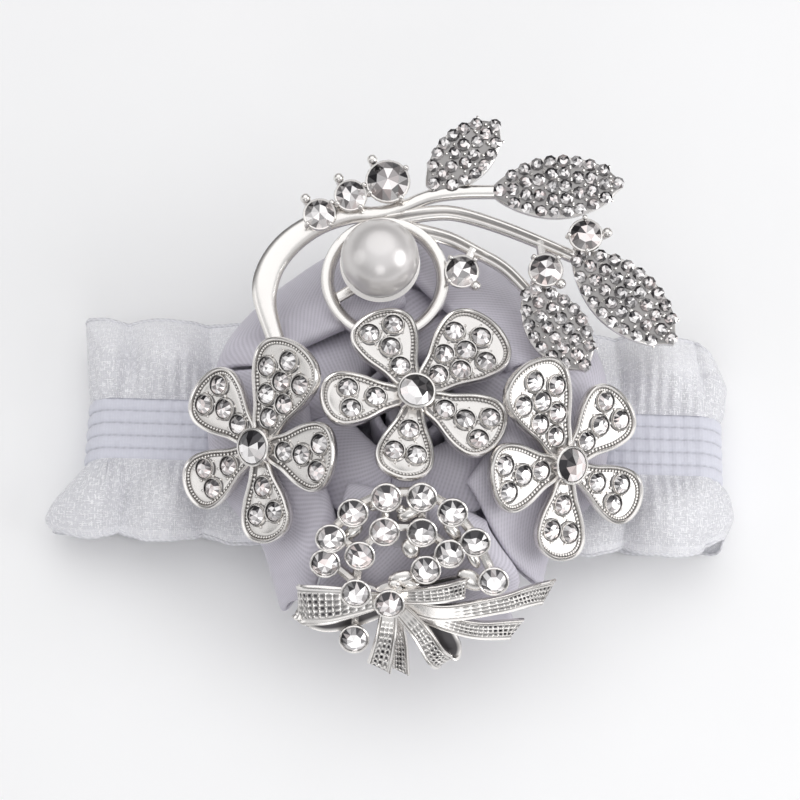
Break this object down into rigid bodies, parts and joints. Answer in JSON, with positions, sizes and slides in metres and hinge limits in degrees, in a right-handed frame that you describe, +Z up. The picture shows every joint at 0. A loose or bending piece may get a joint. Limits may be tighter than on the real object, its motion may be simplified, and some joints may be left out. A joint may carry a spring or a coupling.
{
  "type": "wrist corsage",
  "caption": "Stretch wrist corsage: frilled elastic band with a folded satin rosette that carries cast rhinestone flowers, a leaf spray with a pearl and a wreath-and-bow brooch.",
  "frame": {"origin": "middle of the outer face of the band's rear run, on which the part lies", "axes": "+X along the band, +Y across the band towards the leaf spray, +Z up from the rear run to the ornaments"},
  "size_m": [0.1017, 0.0791, 0.0375],
  "materials": {
    "elastic": "matt woven elastic",
    "organza": "sheer sparkle organza",
    "felt": "felt",
    "satin": "satin",
    "silver": "bright silver plate",
    "crystal": "foil-backed faceted",
    "pearl": "nacre lacquer",
    "glue": "hot-melt"
  },
  "bodies": {
    "corsage": {"elastic_front": "elastic", "elastic_right_bend": "elastic", "elastic_left_bend": "elastic", "frill_upper_front": "organza", "frill_upper_right_bend": "organza", "frill_upper_left_bend": "organza", "frill_lower_front": "organza", "frill_lower_right_bend": "organza", "frill_lower_left_bend": "organza", "felt_backing": "felt", "rosette_outer_1": "satin", "rosette_outer_2": "satin", "rosette_outer_3": "satin", "rosette_outer_4": "satin", "rosette_outer_5": "satin", "rosette_inner_1": "satin", "rosette_inner_2": "satin", "rosette_inner_3": "satin", "rosette_inner_4": "satin", "rosette_inner_5": "satin", "rosette_core": "satin", "flower_centre_casting": "silver", "flower_centre_stone": "crystal", "flower_centre_glue": "glue", "flower_left_casting": "silver", "flower_left_stone": "crystal", "flower_left_glue": "glue", "flower_right_casting": "silver", "flower_right_stone": "crystal", "flower_right_glue": "glue", "spray_casting": "silver", "spray_pearl": "pearl", "spray_stone_a": "crystal", "spray_stone_b": "crystal", "spray_stone_c": "crystal", "spray_stone_d": "crystal", "spray_stone_e": "crystal", "spray_stone_f": "crystal", "spray_glue": "glue", "bow_casting": "silver", "bow_stone_01": "crystal", "bow_stone_02": "crystal", "bow_stone_03": "crystal", "bow_stone_04": "crystal", "bow_stone_05": "crystal", "bow_stone_06": "crystal", "bow_stone_07": "crystal", "bow_stone_08": "crystal", "bow_stone_09": "crystal", "bow_stone_10": "crystal", "bow_stone_11": "crystal", "bow_stone_12": "crystal", "bow_stone_13": "crystal", "bow_stone_14": "crystal", "bow_stone_15": "crystal", "bow_stone_16": "crystal", "bow_glue": "glue"},
    "rear_band": {"elastic_rear": "elastic", "frill_upper_rear": "organza", "frill_lower_rear": "organza"}
  },
  "joints": [
    {"name": "band_stretch", "type": "slide", "parent": "corsage", "child": "rear_band", "axis": [0, 0, -1], "range_m": [0, 0.03], "stiffness_N_per_m": 80, "deforming": ["elastic_right_bend", "elastic_left_bend", "frill_upper_right_bend", "frill_upper_left_bend", "frill_lower_right_bend", "frill_lower_left_bend"]}
  ]
}
